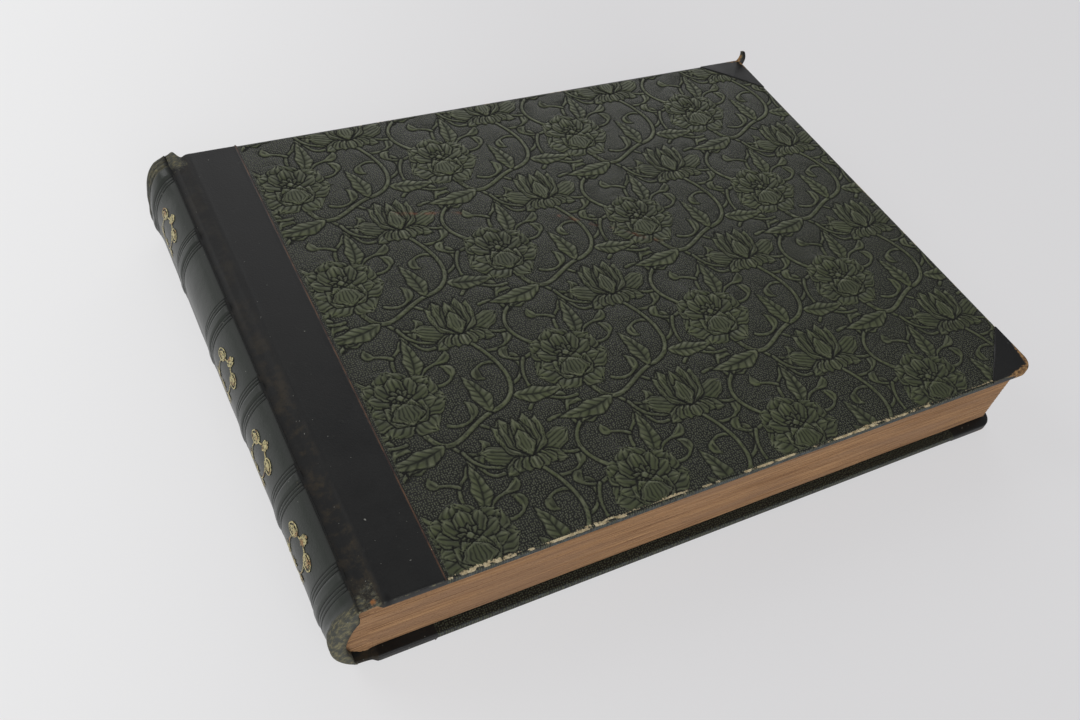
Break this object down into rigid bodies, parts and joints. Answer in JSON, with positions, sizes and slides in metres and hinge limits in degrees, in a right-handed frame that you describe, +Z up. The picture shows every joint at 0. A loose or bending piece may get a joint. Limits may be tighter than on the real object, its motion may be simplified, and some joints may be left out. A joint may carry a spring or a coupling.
{
  "type": "antique leather book",
  "caption": "Oblong half-leather book with a rounded, banded spine, leather corners and embossed floral paper on its hinged boards.",
  "frame": {"origin": "centre of the object's box at the face it rests on, the outside of the back cover", "axes": "+X from the spine to the fore-edge, +Y from the tail to the head, +Z up through the front cover"},
  "size_m": [0.3516, 0.26, 0.0467],
  "materials": {
    "leather": "black grained calf, rubbed grey on the spine and tan on its edges",
    "embossed_paper": "dark green-grey paper pressed to imitate tooled leather, olive on the raised flowers",
    "leaves": "aged leaf edges, tan with fine layers",
    "endpaper": "aged cream endpaper, matt",
    "pasteboard": "grey-brown pasteboard",
    "lining": "glued paper linings",
    "cord": "flattened sewing cord",
    "gilding": "pale gold tooling, rubbed",
    "gilt_rule": "worn gilt rule, browned"
  },
  "bodies": {
    "book_block": {"text_block": "leaves", "front_flyleaf": "endpaper", "back_flyleaf": "endpaper", "spine_lining": "lining", "band_1": "cord", "band_2": "cord", "band_3": "cord", "band_4": "cord", "band_5": "cord", "band_6": "cord", "spine_leather": "leather", "gilt_wreath_1": "gilding", "gilt_wreath_2": "gilding", "gilt_wreath_3": "gilding", "gilt_wreath_4": "gilding"},
    "front_cover": {"front_board": "pasteboard", "front_side_paper": "embossed_paper", "front_leather_strip": "leather", "front_fillet": "gilt_rule", "front_corner_tail": "leather", "front_corner_head": "leather", "front_pastedown": "endpaper"},
    "back_cover": {"back_board": "pasteboard", "back_side_paper": "embossed_paper", "back_leather_strip": "leather", "back_fillet": "gilt_rule", "back_corner_tail": "leather", "back_corner_head": "leather", "back_pastedown": "endpaper"}
  },
  "joints": [
    {"name": "front_cover_hinge", "type": "hinge", "parent": "book_block", "child": "front_cover", "pos_m": [-0.1646, 0, 0.0449], "axis": [0, -1, 0], "range_deg": [0, 180]},
    {"name": "back_cover_hinge", "type": "hinge", "parent": "book_block", "child": "back_cover", "pos_m": [-0.1646, 0, 0.0018], "axis": [0, 1, 0], "range_deg": [0, 180]}
  ]
}
